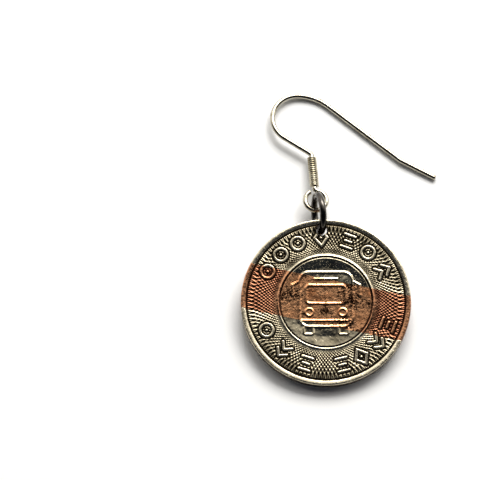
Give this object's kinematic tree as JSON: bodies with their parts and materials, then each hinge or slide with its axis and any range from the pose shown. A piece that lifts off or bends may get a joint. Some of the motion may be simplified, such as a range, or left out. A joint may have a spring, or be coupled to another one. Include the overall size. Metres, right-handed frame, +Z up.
{
  "type": "transit token earring",
  "caption": "Drilled two-metal transit token with a copper stripe, hung by a jump ring on a fish-hook ear wire with a coil, lying flat.",
  "frame": {"origin": "middle of the footprint, on the surface that the earring lies on", "axes": "+Z up from the surface, +Y from the token towards the ear wire's arch, +X towards the ear wire's free tip"},
  "size_m": [0.0268, 0.0424, 0.0059],
  "materials": {
    "copper": "struck copper, worn and toned",
    "white_metal": "struck nickel silver, worn",
    "dark_steel": "bright drawn wire",
    "steel_wire": "polished stainless wire",
    "coil_wire": "polished fine wire, close wound"
  },
  "bodies": {
    "token": {"token_core": "copper", "face_upper": "white_metal", "face_lower": "white_metal", "back_upper": "white_metal", "back_lower": "white_metal"},
    "jump_ring": {"jump_ring": "dark_steel"},
    "ear_wire": {"ear_wire": "steel_wire"},
    "coil": {"coil_wrap": "coil_wire"}
  },
  "joints": [
    {"name": "ring_turn", "type": "hinge", "parent": "token", "child": "jump_ring", "pos_m": [-0.00282, 0.00273, 0.00296], "axis": [0.9752, 0.1371, -0.1737], "range_deg": [0, 120]},
    {"name": "ear_wire_swing", "type": "hinge", "parent": "jump_ring", "child": "ear_wire", "pos_m": [-0.00319, 0.00503, 0.00175], "axis": [0.0641, 0.0891, 0.994], "range_deg": [-40, 60]},
    {"name": "coil_spin", "type": "hinge", "parent": "ear_wire", "child": "coil", "pos_m": [-0.00335, 0.00702, 0.00158], "axis": [-0.0777, 0.9934, -0.084], "continuous": true}
  ]
}
